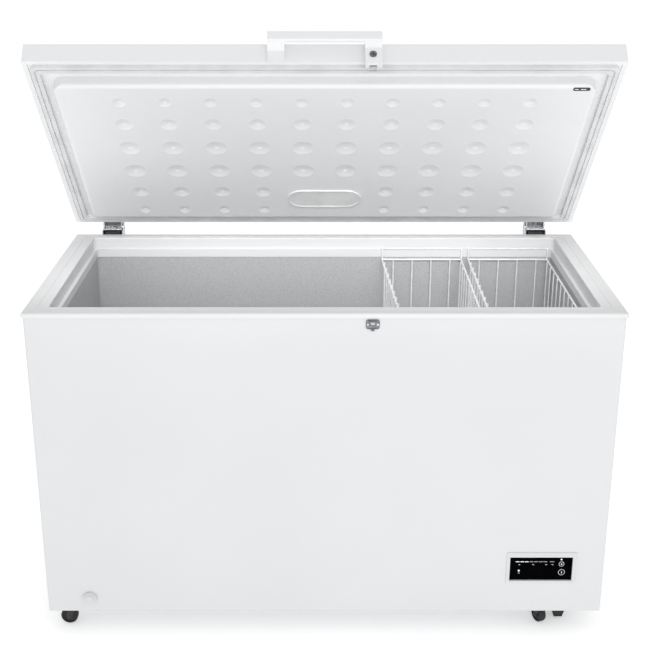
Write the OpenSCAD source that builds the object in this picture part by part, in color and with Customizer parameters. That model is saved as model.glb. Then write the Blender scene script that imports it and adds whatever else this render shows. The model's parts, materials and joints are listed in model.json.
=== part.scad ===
// Chest freezer on casters, drawn with its lid half open.
// X runs to the right, Y to the back, Z up from the floor; the origin is on the
// floor, under the middle of the whole outline.

/* [Cabinet] */
// Width of the rim frame, the widest piece
rim_w = 1270; // [1210:10:1330]
// Depth of the rim frame, front to back
rim_d = 646; // [626:2:666]
// Height of the rim's top above the floor
rim_z = 770; // [740:5:800]
// Height of the cabinet's underside above the floor
floor_gap = 52; // [52:1:54]
// Overhang of the rim frame past the cabinet's skin
overhang = 3.5; // [3.2:0.1:4]
// Thickness of the painted steel skin
skin = 0.9; // [0.8:0.1:1]
// Radius of the cabinet's upright front corners
corner_r = 5; // [4:1:8]

/* [Interior] */
// Distance from the rim's side edge to the inner liner
side_wall = 56; // [54:1:60]
// Distance from the rim's front edge to the inner liner
front_wall = 51; // [50:1:56]
// Distance from the rim's back edge to the inner liner
back_wall = 42; // [41:1:46]
// Height of the liner's floor above the floor
liner_z = 122; // [115:1:130]
// X of the raised step over the compressor
step_x = 300; // [270:5:305]
// Height of that step above the liner's floor
step_h = 300; // [280:5:320]
// Radius of the liner's upright corners
liner_r = 8; // [6:1:20]

/* [Lid] */
// Angle of the lid as drawn, from closed
lid_open = 45; // [0:1:85]
// Height of the lid's skirt
lid_t = 47; // [44:1:52]
// Gap between rim and lid when closed, filled by the gasket
lid_gap = 8; // [7:0.5:10]
// Height of the plinth on the lid's inner face
plinth_h = 25; // [18:1:27]
// Distance between dimple columns on the plinth
dimple_pitch = 98.7; // [94:0.1:99]
// Distance of the hinge axis behind the rim's back edge
pivot_back = 31; // [30:0.5:34]
// Height of the hinge axis above the rim's top
pivot_up = 10; // [9:0.5:12]

/* [Handle and lock] */
// Half the length of the grab bar
bar_half = 120; // [110:1:130]
// How far the bar stands out from the lid's skirt
bar_out = 35; // [32:1:40]
// Width of each leg
leg_w = 36; // [32:1:40]

/* [Baskets] */
// Width of one wire basket
basket_w = 201; // [180:1:204]
// Depth of one basket below its top rail
basket_h = 200; // [140:5:240]
// Distance between wires
wire_pitch = 48; // [40:1:60]

/* [Casters] */
// Wheel radius
wheel_r = 19.5; // [18:0.5:19.5]
// Offset of the wheel's axle from the swivel axis
trail = 11; // [10:0.5:11.5]

/* [Hidden] */
$fn = 48;

white = "#f2f3f4";
steel = "#b9bec4";
dark = "#26282b";
copper = "#b8754a";
e = 0.01;                                  // cutters reach past a face by this much

// cabinet, in a local frame whose y = 0 is the rim's front edge
half_w = rim_w / 2;
body_x = half_w - overhang;                // outer face of the side skin
body_y0 = overhang;                        // outer face of the front skin
body_y1 = rim_d - overhang;                // outer face of the back panel
rim_edge = 10.3;                           // height of the rim frame's outer edge
skin_top = rim_z - 4;
mouth = [half_w - 50, 45, rim_d - 36];     // opening of the rim: half width, front y, back y
mouth_r = 12;                              // corner radius of the frame's inner wall
ledge_w = 8;                               // width of the basket ledge
ledge_z = rim_z - 30;
frame_low = rim_z - 48;                    // bottom edge of the frame's inner wall
frame_t = 2.5;
lin_x = half_w - side_wall;                // inner face of the liner
lin_y0 = front_wall;
lin_y1 = rim_d - back_wall;
liner_t = 1;
step_z = liner_z + step_h;
coil_gap = 7.2;                            // room for the evaporator between liner and foam
coil_r = 3.2;
cond_gap = 5.6;                            // room for the condenser between skin and foam
cond_r = 2.4;
foam_wall = 56;                            // foam between the step and the compartment
bay_x = step_x + liner_t + coil_gap + foam_wall;
bay_z = step_z - liner_t - coil_gap - foam_wall;
base_t = 1.2;

// lid, drawn closed and then turned about the hinge axis
pivot_y = rim_d + pivot_back;
pivot_z = rim_z + pivot_up;
lid_y0 = -2;
lid_y1 = rim_d + 2;
lid_z0 = rim_z + lid_gap;
lid_z1 = lid_z0 + lid_t;
lid_skin = 1.2;
panel_z = lid_z0 + 1;                      // face of the inner panel's border
panel_t = 2;
plinth_x = half_w - 56;
plinth_y0 = lid_y1 - 598;
plinth_y1 = lid_y1 - 62;
plinth_z = lid_z0 - plinth_h;
dimple_deep = 3;
dimple_rows = [[541, 15], [461, 20], [370, 25], [276, 25], [184, 20], [103, 15]];
lamp = [0, lid_y1 - 154, 90, 37];          // x, y, half length and half width of the lamp lens

// hinges
hinge_x = 543;
hinge_half = 26;
hinge_back = pivot_y + 13;
cheek_t = 2;
pin_r = 4;
heel_arm = 20;                             // from hinge axis to the heel roller
heel_r = 4;
slider_top = pivot_z - heel_r - 0.8;
slider_h = 40;
seat_z = rim_z - 108;                      // top of the spring seat
spring_r = 8;

// lock, on the handle's right leg
lock_x = bar_half - leg_w / 2 - 1.5;
block_out = 18.6;                          // how far the lock block stands out
block_low = -19;
lock_n = 4;                                // height of the lock's axis above the lid's edge
hook_out = 8;                              // distance of the hook's plate from the skirt
barrel_r = 6;

// control panel, at the compressor end of the front
panel_x0 = 411;
panel_x1 = 569.5;
panel_z0 = rim_z - 645;
panel_z1 = rim_z - 567;
glass_y = body_y0 + 3;
glass_t = 2;
mode_xz = [535.8, rim_z - 598, 4.6];       // x, z and radius of each button
set_xz = [537, rim_z - 619, 6];
light_z = rim_z - 592;

// drain, low at the other end
drain_x = -535;
drain_y = 90;
drain_z = rim_z - 685;
drain_bore = 6;
cap_out = 8;                               // how far the cap stands out of the skin

// casters: x, y of the swivel axis and the angle that the wheel trails at
casters = [[-581.5, 41, 180], [504.5, 36, 115], [-579, 596, 160], [500, 596, 200]];
fork_top = floor_gap - 5.6;

// the outline runs from the drain cap's face to the hinges' back
mid_y = (body_y0 - cap_out + hinge_back) / 2;

// ---- placing

module cab(c) color(c) translate([0, -mid_y, 0]) children();

module lid(c) color(c) translate([0, pivot_y - mid_y, pivot_z]) rotate([-lid_open, 0, 0])
  translate([0, -pivot_y, -pivot_z]) children();

module both() for (s = [-1, 1]) translate([s * hinge_x, 0, 0]) children();

// ---- shared shapes

module box(x0, x1, y0, y1, z0, z1) translate([x0, y0, z0]) cube([x1 - x0, y1 - y0, z1 - z0]);

module rrect(x0, x1, y0, y1, r) {
  translate([x0 + r, y0]) square([x1 - x0 - 2 * r, y1 - y0]);
  translate([x0, y0 + r]) square([x1 - x0, y1 - y0 - 2 * r]);
  for (x = [x0 + r, x1 - r], y = [y0 + r, y1 - r]) translate([x, y]) circle(r);
}

module prism(x0, x1, y0, y1, z0, z1, r) translate([0, 0, z0]) linear_extrude(z1 - z0)
  rrect(x0, x1, y0, y1, r);

// outline in two directions with its two upper corners rounded
module arch(a0, a1, b0, b1, r) {
  translate([a0, b0]) square([a1 - a0, b1 - b0 - r]);
  translate([a0 + r, b0]) square([a1 - a0 - 2 * r, b1 - b0]);
  for (a = [a0 + r, a1 - r]) translate([a, b1 - r]) circle(r);
}

// block with rounded upright corners and a rounded top edge
module slab(x0, x1, y0, y1, z0, z1, r, rt) intersection() {
  prism(x0, x1, y0, y1, z0, z1, r);
  translate([0, y1, 0]) rotate([90, 0, 0]) linear_extrude(y1 - y0) arch(x0, x1, z0, z1, rt);
  translate([x0, 0, 0]) rotate([90, 0, 90]) linear_extrude(x1 - x0) arch(y0, y1, z0, z1, rt);
}

module rod_x(x0, x1, y, z, r) translate([x0, y, z]) rotate([0, 90, 0]) cylinder(h = x1 - x0, r = r);
module rod_y(x, y0, y1, z, r) translate([x, y0, z]) rotate([-90, 0, 0]) cylinder(h = y1 - y0, r = r);
module rod_z(x, y, z0, z1, r) translate([x, y, z0]) cylinder(h = z1 - z0, r = r);

module bend(rc, rt) rotate_extrude(angle = 90) translate([rc, 0]) circle(rt);

// closed loop of round wire or tube, lying flat
module loop(x0, x1, y0, y1, z, rc, rt) {
  for (y = [y0, y1]) rod_x(x0 + rc, x1 - rc, y, z, rt);
  for (x = [x0, x1]) rod_y(x, y0 + rc, y1 - rc, z, rt);
  translate([x1 - rc, y1 - rc, z]) bend(rc, rt);
  translate([x0 + rc, y1 - rc, z]) rotate(90) bend(rc, rt);
  translate([x0 + rc, y0 + rc, z]) rotate(180) bend(rc, rt);
  translate([x1 - rc, y0 + rc, z]) rotate(270) bend(rc, rt);
}

// U of wire in the XZ plane, open at the top, from z = 0 down to z = -h; a weld's width parts its pieces
module u_wire(w, h, rc, rt) {
  for (s = [-1, 1]) rod_z(s * w / 2, 0, -h + rc + weld, 0, rt);
  rod_x(-w / 2 + rc + weld, w / 2 - rc - weld, 0, -h, rt);
  translate([w / 2 - rc, 0, -h + rc]) rotate([90, 0, 0]) rotate(-90) bend(rc, rt);
  translate([-w / 2 + rc, 0, -h + rc]) rotate([90, 0, 0]) rotate(180) bend(rc, rt);
}

// level wire from p to q at height z, cut short by stop at each end
module rod_flat(p, q, z, rt, stop) translate([p[0], p[1], z])
  rotate([0, 90, atan2(q[1] - p[1], q[0] - p[0])]) translate([0, 0, stop]) cylinder(h = norm(q - p) - 2 * stop, r = rt);

// pan-head screw whose head lies on the plane z = 0 and stands up
module screw(r, l) {
  translate([0, 0, -l]) cylinder(h = l, r = r * 0.5);
  intersection() {
    cylinder(h = r * 0.7, r = r);
    translate([0, 0, -r * 1.1]) sphere(r * 1.8);
  }
}

// prism whose outline is given in the YZ plane
module side_plate(x0, x1) translate([x0, 0, 0]) rotate([90, 0, 90]) linear_extrude(x1 - x0) children();

// ---- cabinet shell

module outer_wrapper() cab(white) difference() {
  prism(-body_x, body_x, body_y0, body_y1 + corner_r, floor_gap, skin_top, corner_r);
  prism(-body_x + skin, body_x - skin, body_y0 + skin, body_y1 + 2 * corner_r,
        floor_gap - e, skin_top + e, corner_r - skin);
  box(-body_x - 1, body_x + 1, body_y1 - skin, body_y1 + 2 * corner_r, floor_gap - 1, skin_top + 1);
  box(panel_x0 + 3, panel_x1 - 3, body_y0 - 1, body_y0 + 2, panel_z0 + 3, panel_z1 - 3);
  rod_y(drain_x, body_y0 - 1, body_y0 + 2, drain_z, drain_bore + 3.4);
  box(body_x - 2, body_x + 1, vent[0] + 8, vent[1] - 8, vent[2] + 8, vent[3] - 8);
}
vent = [370, 560, 90, 260];                // y and z limits of the side grille

module back_panel() cab(steel) difference() {
  box(-body_x, body_x, body_y1 - skin, body_y1, floor_gap, skin_top);
  box(bay_x + 22, body_x - 22, body_y1 - 2, body_y1 + 1, floor_gap + 20, bay_z - 20);
  cover_holes() cylinder(h = 6, r = 1.82, center = true);
}

module base_plate() cab(steel) difference() {
  box(-body_x + skin, body_x - skin, body_y0 + skin + 0.2, body_y1 - skin, floor_gap, floor_gap + base_t);
  for (y = [180:30:480]) box(bay_x + 60, body_x - 60, y, y + 12, floor_gap - 1, floor_gap + 2);
}

// room inside the liner, grown by g on every side
module cavity(g) difference() {
  prism(-lin_x - g, lin_x + g, lin_y0 - g, lin_y1 + g, liner_z - g, frame_low + 14, liner_r);
  box(step_x + g, lin_x + 2 * g + 1, lin_y0 - 2 * g - 1, lin_y1 + 2 * g + 1, liner_z - 2 * g - 1, step_z - g);
}

liner_top = frame_low + 12;
weld = 0.04;                                // gap left at a seam or a weld

// panels and corner strips of the liner, a narrow seam apart
module inner_liner() cab("#b4b6b8") {
  t = liner_t;
  low = liner_z + weld;
  high = step_z + weld;
  inset = liner_r + weld;
  difference() {
    liner_plate(-lin_x - t, step_x + t, liner_z, 0, step_x + t);
    rod_z(drain_x, drain_y, liner_z - 2, liner_z + 1, drain_bore + 2.2);
  }
  liner_plate(step_x, lin_x + t, step_z, step_x, lin_x - 100);
  box(step_x, step_x + t, lin_y0 - t, lin_y1 + t, low, step_z - t - weld);
  for (y = [lin_y0 - t, lin_y1]) {
    box(-lin_x + inset, step_x - weld, y, y + t, low, liner_top);
    box(step_x, lin_x - inset, y, y + t, high, liner_top);
  }
  box(-lin_x - t, -lin_x, lin_y0 + inset, lin_y1 - inset, low, liner_top);
  box(lin_x, lin_x + t, lin_y0 + inset, lin_y1 - inset, high, liner_top);
  liner_corner(-1, lin_y0 + liner_r, 180, low);
  liner_corner(-1, lin_y1 - liner_r, 90, low);
  liner_corner(1, lin_y0 + liner_r, 270, high);
  liner_corner(1, lin_y1 - liner_r, 0, high);
}

// level panel under the liner's walls, with square corners from xa to xb
module liner_plate(x0, x1, z, xa, xb) {
  prism(x0, x1, lin_y0 - liner_t, lin_y1 + liner_t, z - liner_t, z, liner_r + liner_t);
  box(xa, xb, lin_y0 - liner_t, lin_y1 + liner_t, z - liner_t, z);
}

module liner_corner(s, y, turn, z) translate([s * (lin_x - liner_r), y, z]) rotate(turn)
  rotate_extrude(angle = 90) translate([liner_r, 0]) square([liner_t, liner_top - z]);

module insulation_foam() cab("#e8d9a0") difference() {
  box(-body_x + skin, body_x - skin, body_y0 + skin + cond_gap, body_y1 - skin, floor_gap + base_t, rim_z - 34);
  cavity(liner_t + coil_gap);
  box(-half_w, half_w, lin_y0 - liner_t - 9, lin_y1 + liner_t + 9, frame_low - 2, rim_z);
  box(bay_x, half_w, 0, rim_d, 0, bay_z);
  rod_z(drain_x, drain_y, drain_z - 10, liner_z, drain_bore + 2.4);
  rod_y(drain_x, 0, drain_y, drain_z, drain_bore + 2.4);
  translate([drain_x, drain_y, drain_z]) sphere(drain_bore + 2.4);
}

module frame_ring(g, y_g, z0, z1, t) difference() {
  prism(-mouth[0] + g - t, mouth[0] - g + t, mouth[1] + y_g - t, mouth[2] - y_g + t, z0, z1, mouth_r + 2);
  prism(-mouth[0] + g, mouth[0] - g, mouth[1] + y_g, mouth[2] - y_g, z0 - e, z1 + e, mouth_r);
}

module top_frame() cab(white) {
  difference() {
    slab(-half_w, half_w, 0, rim_d, rim_z - rim_edge, rim_z, corner_r, 4);
    prism(-half_w + frame_t, half_w - frame_t, frame_t, rim_d - frame_t,
          rim_z - rim_edge - 1, rim_z - frame_t - 0.5, corner_r - frame_t);
    prism(-mouth[0] - 3, mouth[0] + 3, mouth[1] - 3, mouth[2] + 3, rim_z - 20, rim_z + 1, mouth_r + 3);
    difference() {
      prism(-half_w + 27, half_w - 27, 27, rim_d - 24, rim_z - 0.8, rim_z + 1, 20);
      prism(-half_w + 34, half_w - 34, 34, rim_d - 29, rim_z - 1, rim_z + 2, 20);
    }
  }
  loop(-mouth[0] - 3, mouth[0] + 3, mouth[1] - 3, mouth[2] + 3, rim_z - 3, mouth_r + 3, 3);
  frame_ring(0, 0, ledge_z, rim_z - 3, 3);
  frame_ring(ledge_w, ledge_w, ledge_z - frame_t, ledge_z, ledge_w + 3);
  frame_ring(ledge_w, ledge_w, frame_low, ledge_z - frame_t, 1.6);
}

// ---- refrigeration

// loop of tube that ends at x1, open there
module open_loop(x0, x1, y0, y1, z, rc, rt) {
  for (y = [y0, y1]) rod_x(x0 + rc, x1, y, z, rt);
  rod_y(x0, y0 + rc, y1 - rc, z, rt);
  translate([x0 + rc, y1 - rc, z]) rotate(90) bend(rc, rt);
  translate([x0 + rc, y0 + rc, z]) rotate(180) bend(rc, rt);
}

module evaporator_coil() cab(copper) {
  g = liner_t + coil_gap / 2;
  rc = liner_r + coil_gap / 2;
  for (z = [step_z + 25:60:frame_low - 20])
    loop(-lin_x - g, lin_x + g, lin_y0 - g, lin_y1 + g, z, rc, coil_r);
  for (z = [liner_z + 30:70:step_z - 20])
    open_loop(-lin_x - g, step_x - 2, lin_y0 - g, lin_y1 + g, z, rc, coil_r);
}

module condenser_coil() cab(dark) {
  y = body_y0 + skin + cond_gap / 2;
  run = 560;
  gap = 50;
  for (i = [0:8]) rod_x(-run, run, y, 270 + i * gap, cond_r);
  for (i = [0:7]) translate([(i % 2 == 0 ? 1 : -1) * run, y, 270 + (i + 0.5) * gap]) rotate([90, 0, 0])
    rotate(i % 2 == 0 ? -90 : 90) rotate_extrude(angle = 180) translate([gap / 2, 0]) circle(cond_r);
}

module compartment_plate() cab(steel) {
  box(bay_x + 0.2, bay_x + 1.2, body_y0 + skin + 8, body_y1 - skin, floor_gap + base_t, bay_z - 0.2);
  box(bay_x + 1.2, body_x - skin, body_y0 + skin + 8, body_y1 - skin, bay_z - 1.2, bay_z - 0.2);
}

comp = [498, 400];                         // x and y of the compressor's axis
tray_z = floor_gap + base_t + 1.6;         // top of the compressor tray
can_r = 74;
can_z = tray_z + 22;
can_h = 165;

module compressor_tray() cab(steel) difference() {
  box(bay_x + 3, body_x - 4, comp[1] - 110, comp[1] + 110, floor_gap + base_t, tray_z);
  for (x = [-85, 85], y = [-55, 55]) rod_z(comp[0] + x, comp[1] + y, floor_gap, tray_z + 1, 4);
}

module compressor() cab(dark) {
  intersection() {
    rod_z(comp[0], comp[1], can_z, can_z + can_h, can_r);
    translate([comp[0], comp[1], can_z + can_h - 98]) sphere(98);
    translate([comp[0], comp[1], can_z + 98]) sphere(98);
  }
  difference() {
    prism(comp[0] - 100, comp[0] + 100, comp[1] - 66, comp[1] + 66, can_z - 4, can_z + 12, 14);
    prism(comp[0] - 98, comp[0] + 98, comp[1] - 64, comp[1] + 64, can_z - 1, can_z + 13, 12);
    for (x = [-85, 85], y = [-55, 55]) rod_z(comp[0] + x, comp[1] + y, can_z - 5, can_z, 4.2);
  }
  rod_z(comp[0], comp[1], can_z - 2, can_z + 16, 50);
}

module compressor_mounts() cab(dark) for (x = [-85, 85], y = [-55, 55]) {
  rod_z(comp[0] + x, comp[1] + y, tray_z, can_z - 4, 10);
  rod_z(comp[0] + x, comp[1] + y, floor_gap + base_t, can_z + 4, 3.8);
}

module terminal_box() cab(dark) difference() {
  prism(comp[0] - 30, comp[0] + 30, comp[1] - 112, comp[1] - 60, can_z + 40, can_z + 110, 5);
  rod_z(comp[0], comp[1], can_z, can_z + can_h, can_r + 0.4);
}

drier = [bay_x + 28, 560, 180];            // foot of the upright filter drier

module filter_drier() cab(copper) translate(drier) {
  cylinder(h = 90, r = 10);
  translate([0, 0, 90]) cylinder(h = 14, r1 = 10, r2 = 3.2);
  translate([0, 0, -14]) cylinder(h = 14, r1 = 3.2, r2 = 10);
}

// tube up, over and down again in the YZ plane, with two bends
module hoop(y0, y1, z0, z1, z_top, rc, rt) {
  rod_z(0, y0, z0, z_top - rc, rt);
  translate([0, y0 + rc, z_top - rc]) rotate([0, -90, 0]) rotate(90) bend(rc, rt);
  rod_y(0, y0 + rc, y1 - rc, z_top, rt);
  translate([0, y1 - rc, z_top - rc]) rotate([0, -90, 0]) bend(rc, rt);
  rod_z(0, y1, z1, z_top - rc, rt);
}

module refrigerant_tubes() cab(copper) {
  translate([drier[0], 0, 0]) hoop(470, drier[1], tray_z + 30, drier[2] + 104.3, bay_z - 20, 16, 2.6);
  translate([comp[0] + 30, 0, 0]) hoop(comp[1] + 20, 540, can_z + can_h, tray_z + 20, bay_z - 14, 16, 3.2);
  translate([comp[0] - 30, 0, 0]) hoop(comp[1] + 20, 520, can_z + can_h, tray_z + 20, bay_z - 24, 16, 3.2);
}

// ---- openings in the skin

module vent_grille() cab(white) translate([body_x, 0, 0]) difference() {
  union() {
    side_plate(0, 2.4) rrect(vent[0], vent[1], vent[2], vent[3], 8);
    side_plate(-4, e) rrect(vent[0] + 9, vent[1] - 9, vent[2] + 9, vent[3] - 9, 4);
  }
  for (i = [0:9]) side_plate(-5, 3) translate([0, vent[2] + 18 + i * 14.2])
    rrect(vent[0] + 16, vent[1] - 16, 0, 7, 3);
}

cover = [bay_x + 12, body_x - 12, floor_gap + 10, bay_z - 10];   // x and z limits

module cover_holes() for (x = [cover[0] + 6, cover[1] - 6], z = [cover[2] + 6, cover[3] - 6])
  translate([x, body_y1 + 1, z]) rotate([90, 0, 0]) children();

module rear_cover() cab(steel) difference() {
  box(cover[0], cover[1], body_y1, body_y1 + 1, cover[2], cover[3]);
  for (i = [0:1], j = [0:12]) box(cover[0] + 26 + i * 98, cover[0] + 106 + i * 98, body_y1 - 1, body_y1 + 2,
    cover[2] + 30 + j * 17, cover[2] + 37 + j * 17);
  cover_holes() cylinder(h = 6, r = 1.9, center = true);
}

module cover_screws() cab(steel) for (x = [cover[0] + 6, cover[1] - 6], z = [cover[2] + 6, cover[3] - 6])
  translate([x, body_y1 + 1, z]) rotate([-90, 0, 0]) screw(3.6, 1.9);

gland = [bay_x - 40, 105];                 // x and z of the cord entry

module cord_gland() cab(dark) difference() {
  union() {
    rod_y(gland[0], body_y1, body_y1 + 6, gland[1], 11);
    rod_y(gland[0], body_y1, body_y1 + 12, gland[1], 7);
  }
  rod_y(gland[0], body_y1 - 1, body_y1 + 13, gland[1], 4);
}

module control_bezel() cab(white) difference() {
  union() {
    translate([0, body_y0, 0]) rotate([90, 0, 0]) linear_extrude(2)
      rrect(panel_x0, panel_x1, panel_z0, panel_z1, 3);
    box(panel_x0 + 3.5, panel_x1 - 3.5, body_y0 - e, body_y0 + 26, panel_z0 + 3.5, panel_z1 - 3.5);
  }
  box(panel_x0 + 7.5, panel_x1 - 9.5, body_y0 - 3, body_y0 + 10, panel_z0 + 6.5, panel_z1 - 11.5);
  box(panel_x0 + 5.5, panel_x1 - 5.5, glass_y, body_y0 + 30, panel_z0 + 5.5, panel_z1 - 5.5);
}

module button_hole(b, g) rod_y(b[0], glass_y - 2, glass_y + glass_t + 2, b[1], b[2] + g);

// indicator segments: a row of seven, one apart, and a dot
module segments() {
  for (i = [0:6]) box(432 + i * 10.4, 440.4 + i * 10.4, glass_y - 0.2, glass_y + glass_t, light_z - 0.8, light_z + 0.8);
  box(509, 519, glass_y - 0.2, glass_y + glass_t, light_z - 0.8, light_z + 0.8);
  rod_y(440, glass_y - 0.2, glass_y + glass_t, rim_z - 615, 2.2);
  rod_y(535, glass_y - 0.2, glass_y + glass_t, rim_z - 586.4, 2);
}

module control_glass() cab("#0b0c0e") difference() {
  box(panel_x0 + 6, panel_x1 - 6, glass_y, glass_y + glass_t, panel_z0 + 6, panel_z1 - 6);
  button_hole(mode_xz, 0.3);
  button_hole(set_xz, 0.3);
  segments();
}

module indicator_lights() cab("#cfe6ff") segments();

module button(b) rod_y(b[0], glass_y - 0.7, glass_y + glass_t + 4, b[1], b[2]);
module button_mode() cab(dark) button(mode_xz);
module button_set() cab(dark) button(set_xz);

module control_board() cab("#1f6b3a") {
  box(panel_x0 + 9, panel_x1 - 9, body_y0 + 18, body_y0 + 19.6, panel_z0 + 9, panel_z1 - 9);
  for (b = [mode_xz, set_xz]) box(b[0] - 4, b[0] + 4, glass_y + glass_t + 5.2, body_y0 + 18, b[1] - 4, b[1] + 4);
  box(440, 480, body_y0 + 13, body_y0 + 18, panel_z0 + 16, panel_z0 + 40);
}

// ---- keeper for the lid's lock, under the rim

strike = [lock_x - 14.5, lock_x + 14.5, rim_z - 35, rim_z - 14];
strike_hole = [[lock_x - 10.5, rim_z - 24.5], [lock_x + 10.5, rim_z - 24.5]];

module strike_plate() cab("#4a4c50") difference() {
  union() {
    translate([0, body_y0, 0]) rotate([90, 0, 0]) linear_extrude(2)
      rrect(strike[0], strike[1], strike[2], strike[3], 5);
    translate([0, body_y0, 0]) rotate([90, 0, 0]) linear_extrude(2)
      rrect(lock_x - 4, lock_x + 4, rim_z - 39.5, rim_z - 30, 2.5);
    box(lock_x - 9, lock_x + 9, body_y0 - 7.5, body_y0 - 2 + e, rim_z - 18, rim_z - 16);
  }
  box(lock_x - 4.5, lock_x + 4.5, body_y0 - 3, body_y0 + 1, rim_z - 27, rim_z - 21);
  for (h = strike_hole) rod_y(h[0], body_y0 - 3, body_y0 + 1, h[1], 1.4);
}

module strike_screws() cab(steel) for (h = strike_hole)
  translate([h[0], body_y0 - 2, h[1]]) rotate([90, 0, 0]) screw(2.4, 1.9);

// ---- drain

module drain_tube() cab(white) difference() {
  union() {
    rod_y(drain_x, body_y0 - 2, body_y0, drain_z, 17);
    rod_y(drain_x, body_y0 - e, drain_y, drain_z, drain_bore + 2);
    translate([drain_x, drain_y, drain_z]) sphere(drain_bore + 2);
    rod_z(drain_x, drain_y, drain_z, liner_z, drain_bore + 2);
  }
  rod_y(drain_x, body_y0 - 3, drain_y, drain_z, drain_bore);
  translate([drain_x, drain_y, drain_z]) sphere(drain_bore);
  rod_z(drain_x, drain_y, drain_z, liner_z + 1, drain_bore);
}

module drain_cap() cab(white) {
  rod_y(drain_x, body_y0 - 5, body_y0 - 2.3, drain_z, 15.6);
  rod_y(drain_x, body_y0 - cap_out + 1.5, body_y0 - 5 + e, drain_z, 12);
  rod_y(drain_x, body_y0 - cap_out, body_y0 - 5, drain_z, 8.6);
  rod_y(drain_x, body_y0 - 2.4, body_y0 + 12, drain_z, drain_bore - 0.4);
}

module drain_plug() cab(dark) {
  rod_z(drain_x, drain_y, liner_z + 0.3, liner_z + 4, 14);
  rod_z(drain_x, drain_y, liner_z - 12, liner_z + 1, drain_bore - 0.4);
  rod_z(drain_x, drain_y, liner_z + 4 - e, liner_z + 10, 5);
}

// ---- hinges

// outline of one cheek in the YZ plane
module cheek_outline() difference() {
  union() {
    polygon([[body_y1 + 0.2, seat_z - 3], [hinge_back, seat_z - 3], [hinge_back, pivot_z - 2],
             [rim_d + 0.8, pivot_z - 2], [rim_d + 0.8, rim_z - rim_edge - 2],
             [body_y1 + 0.2, rim_z - rim_edge - 2]]);
    translate([pivot_y, pivot_z]) circle(13);
  }
  translate([pivot_y - 40, pivot_z - 2]) square([40 - 30.2 + 13, 40]);
}

hinge_holes = [rim_z - 95, rim_z - 32];    // z of the screws in each ear
ear_x = hinge_half + 8;

module hinge_bases() cab(steel) both() difference() {
  union() {
    for (s = [-1, 1]) translate([s * (hinge_half - cheek_t / 2) - cheek_t / 2, 0, 0])
      side_plate(0, cheek_t) cheek_outline();
    box(-hinge_half, hinge_half, hinge_back - cheek_t, hinge_back, seat_z - 3, pivot_z - 2);
    box(-hinge_half, hinge_half, rim_d + 2, hinge_back, seat_z - 3, seat_z);
    for (s = [-1, 1]) translate([s * (hinge_half + 7) - 9, 0, 0])
      box(0, 18, body_y1 + 0.2, body_y1 + 2.2, seat_z - 3, rim_z - rim_edge - 4);
    rod_x(-hinge_half - 1.5, hinge_half + 1.5, pivot_y, pivot_z, pin_r);
  }
  for (x = [-ear_x, ear_x], z = hinge_holes) rod_y(x, body_y1 - 1, body_y1 + 3, z, 2.2);
}

module hinge_base_screws() cab(steel) both() for (x = [-ear_x, ear_x], z = hinge_holes)
  translate([x, body_y1 + 2.2, z]) rotate([-90, 0, 0]) screw(4, 2);

slider_y = rim_d + 12.5;                   // axis of the slider and its spring

module hinge_slider(s) cab(dark) translate([s * hinge_x, 0, 0]) {
  box(-19, 19, slider_y - 9.5, slider_y + 9.5, slider_top - slider_h, slider_top);
  rod_z(0, slider_y, slider_top - slider_h - 12, slider_top - slider_h + 1, spring_r - 3.2);
}
module hinge_slider_left() hinge_slider(-1);
module hinge_slider_right() hinge_slider(1);

// compression spring: stacked coils joined by a thin sleeve
module hinge_springs() cab(steel) both() translate([0, slider_y, 0]) rotate_extrude() {
  coils = 11;
  z0 = seat_z + 1.8;
  pitch = (slider_top - slider_h - 1.8 - z0) / (coils - 1);
  for (i = [0:coils - 1]) translate([spring_r, z0 + i * pitch]) circle(1.5);
  translate([spring_r - 0.5, z0]) square([1, pitch * (coils - 1)]);
}

module leaf_outline() {
  polygon([[lid_y1 + 1, lid_z0 + 3], [lid_y1 + 1, lid_z0 + 38], [pivot_y + 3, pivot_z + 8.4],
           [pivot_y + 7, pivot_z - 5], [pivot_y - 11, pivot_z - 18], [pivot_y - 18, pivot_z - 11]]);
  translate([pivot_y, pivot_z]) circle(9);
  translate([pivot_y - heel_arm * sin(45), pivot_z - heel_arm * sin(45)]) circle(5);
}

// bent-over web that joins the two cheeks of a leaf along their back edge
web_t = 1.6;

module web_outline() polygon([[lid_y1 + 1, lid_z0 + 38], [pivot_y + 3, pivot_z + 8.4],
  [pivot_y + 3, pivot_z + 8.4 - web_t], [lid_y1 + 1, lid_z0 + 38 - web_t]]);

leaf_half = hinge_half - cheek_t - 1;
leaf_holes = [lid_z0 + 12, lid_z0 + 30];

module hinge_leaves() lid(steel) both() difference() {
  union() {
    for (s = [-1, 1]) translate([s * (leaf_half - cheek_t / 2) - cheek_t / 2, 0, 0])
      side_plate(0, cheek_t) leaf_outline();
    side_plate(0.5 - leaf_half, leaf_half - 0.5) web_outline();
    box(-leaf_half, leaf_half, lid_y1, lid_y1 + cheek_t, lid_z0 + 3, lid_z0 + 42);
    rod_x(-leaf_half + 1, leaf_half - 1, pivot_y - heel_arm * sin(45), pivot_z - heel_arm * sin(45), heel_r);
  }
  rod_x(-leaf_half - 1, leaf_half + 1, pivot_y, pivot_z, pin_r + 0.06);
  for (x = [-13, 13], z = leaf_holes) rod_y(x, lid_y1 - 1, lid_y1 + 3, z, 2);
}

module hinge_leaf_screws() lid(steel) both() for (x = [-13, 13], z = leaf_holes)
  translate([x, lid_y1 + cheek_t, z]) rotate([-90, 0, 0]) screw(3.6, 1.9);

// ---- lid

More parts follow.
